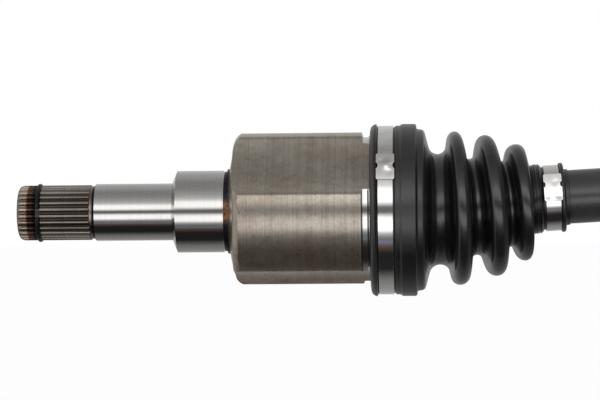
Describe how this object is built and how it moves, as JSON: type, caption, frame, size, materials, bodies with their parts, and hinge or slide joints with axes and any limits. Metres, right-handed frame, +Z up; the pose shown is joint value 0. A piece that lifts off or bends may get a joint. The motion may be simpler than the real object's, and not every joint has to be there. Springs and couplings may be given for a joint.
{
  "type": "drive shaft",
  "caption": "Car drive shaft: splined stub, three-lobed sliding joint with rubber boot, round bar, ball joint with boot, and splined hub stub.",
  "frame": {"origin": "on the housing's axis, in the middle of the working length of the differential spline", "axes": "+X along the housing's axis from the differential towards the wheel, +Z up as in the picture"},
  "size_m": [0.6103, 0.0916, 0.1052],
  "materials": {
    "turned_steel": "turned steel with a light oil film",
    "bearing_steel": "ground and polished",
    "clamp_steel": "bright stainless band",
    "spring_steel": "blued spring steel",
    "bar_paint": "black satin",
    "boot_rubber": "semi-matt moulded rubber"
  },
  "bodies": {
    "housing": {"tripod_housing": "turned_steel", "stub_ring": "spring_steel", "boot_adapter": "boot_rubber", "inboard_large_clamp": "clamp_steel"},
    "sliding_boot": {"inboard_boot": "boot_rubber"},
    "top_needles": {"needles_1": "bearing_steel"},
    "top_roller": {"roller_1": "bearing_steel"},
    "bar": {"drive_bar": "bar_paint", "spider": "turned_steel", "spider_clip": "spring_steel", "spider_stop_ring": "spring_steel", "roller_washer_1": "bearing_steel", "roller_washer_2": "bearing_steel", "roller_washer_3": "bearing_steel", "roller_clip_1": "spring_steel", "roller_clip_2": "spring_steel", "roller_clip_3": "spring_steel", "inboard_small_clamp": "clamp_steel", "inner_race": "turned_steel", "race_clip": "spring_steel", "outboard_boot": "boot_rubber", "outboard_small_clamp": "clamp_steel"},
    "rear_needles": {"needles_2": "bearing_steel"},
    "rear_roller": {"roller_2": "bearing_steel"},
    "front_needles": {"needles_3": "bearing_steel"},
    "front_roller": {"roller_3": "bearing_steel"},
    "top_ball": {"ball_1": "bearing_steel"},
    "cage": {"cage": "turned_steel", "ball_2": "bearing_steel", "ball_3": "bearing_steel", "ball_5": "bearing_steel", "ball_6": "bearing_steel"},
    "bottom_ball": {"ball_4": "bearing_steel"},
    "bell": {"outboard_bell": "turned_steel", "outboard_large_clamp": "clamp_steel"}
  },
  "joints": [
    {"name": "plunge", "type": "slide", "parent": "housing", "child": "sliding_boot", "axis": [1, 0, 0], "range_m": [-0.012, 0.012], "deforming": ["inboard_boot"]},
    {"name": "inboard_swing", "type": "hinge", "parent": "sliding_boot", "child": "top_needles", "pos_m": [0.138, 0, 0], "axis": [0, -0.9803, 0.1977], "range_deg": [-13.1, 6.9], "deforming": ["inboard_boot"]},
    {"name": "inboard_sway", "type": "hinge", "parent": "top_needles", "child": "bar", "pos_m": [0.138, 0, 0], "axis": [-0.0541, 0.1974, 0.9788], "range_deg": [-10, 10], "deforming": ["inboard_boot"]},
    {"name": "top_roller_spin", "type": "hinge", "parent": "top_needles", "child": "top_roller", "pos_m": [0.138, 0, 0], "axis": [-0.0541, 0.1974, 0.9788], "range_deg": [-50, 50]},
    {"name": "rear_roller_spin", "type": "hinge", "parent": "bar", "child": "rear_roller", "pos_m": [0.138, 0, 0], "axis": [0.027, 0.7503, -0.6606], "range_deg": [-50, 50]},
    {"name": "front_roller_spin", "type": "hinge", "parent": "bar", "child": "front_roller", "pos_m": [0.138, 0, 0], "axis": [0.027, -0.9476, -0.3182], "range_deg": [-50, 50]},
    {"name": "rear_needles_spin", "type": "hinge", "parent": "bar", "child": "rear_needles", "pos_m": [0.138, 0, 0], "axis": [0.027, 0.7503, -0.6606], "range_deg": [-25, 25]},
    {"name": "front_needles_spin", "type": "hinge", "parent": "bar", "child": "front_needles", "pos_m": [0.138, 0, 0], "axis": [0.027, -0.9476, -0.3182], "range_deg": [-25, 25]},
    {"name": "wheel_swing", "type": "hinge", "parent": "bar", "child": "top_ball", "pos_m": [0.46752, 0.00353, 0.01749], "axis": [-0.0107, 0.9999, -0.0003], "range_deg": [-17.5, 17.5], "deforming": ["outboard_boot"]},
    {"name": "wheel_steer", "type": "hinge", "parent": "top_ball", "child": "cage", "pos_m": [0.46752, 0.00353, 0.01749], "axis": [-0.053, -0.0003, 0.9986], "range_deg": [-6, 6], "deforming": ["outboard_boot"]},
    {"name": "wheel_steer_half", "type": "hinge", "parent": "cage", "child": "bottom_ball", "pos_m": [0.46752, 0.00353, 0.01749], "axis": [-0.053, -0.0003, 0.9986], "range_deg": [-6, 6], "deforming": ["outboard_boot"]},
    {"name": "wheel_swing_half", "type": "hinge", "parent": "bottom_ball", "child": "bell", "pos_m": [0.46752, 0.00353, 0.01749], "axis": [-0.0107, 0.9999, -0.0003], "range_deg": [-17.5, 17.5], "deforming": ["outboard_boot"]}
  ],
  "couplings": [
    {"joint": "top_roller_spin", "follows": "plunge", "rad_per_m": 66.667},
    {"joint": "rear_roller_spin", "follows": "plunge", "rad_per_m": 66.667},
    {"joint": "front_roller_spin", "follows": "plunge", "rad_per_m": 66.667},
    {"joint": "rear_needles_spin", "follows": "plunge", "rad_per_m": 28.733},
    {"joint": "front_needles_spin", "follows": "plunge", "rad_per_m": 28.733},
    {"joint": "wheel_steer_half", "follows": "wheel_steer", "ratio": 1},
    {"joint": "wheel_swing_half", "follows": "wheel_swing", "ratio": 1}
  ]
}
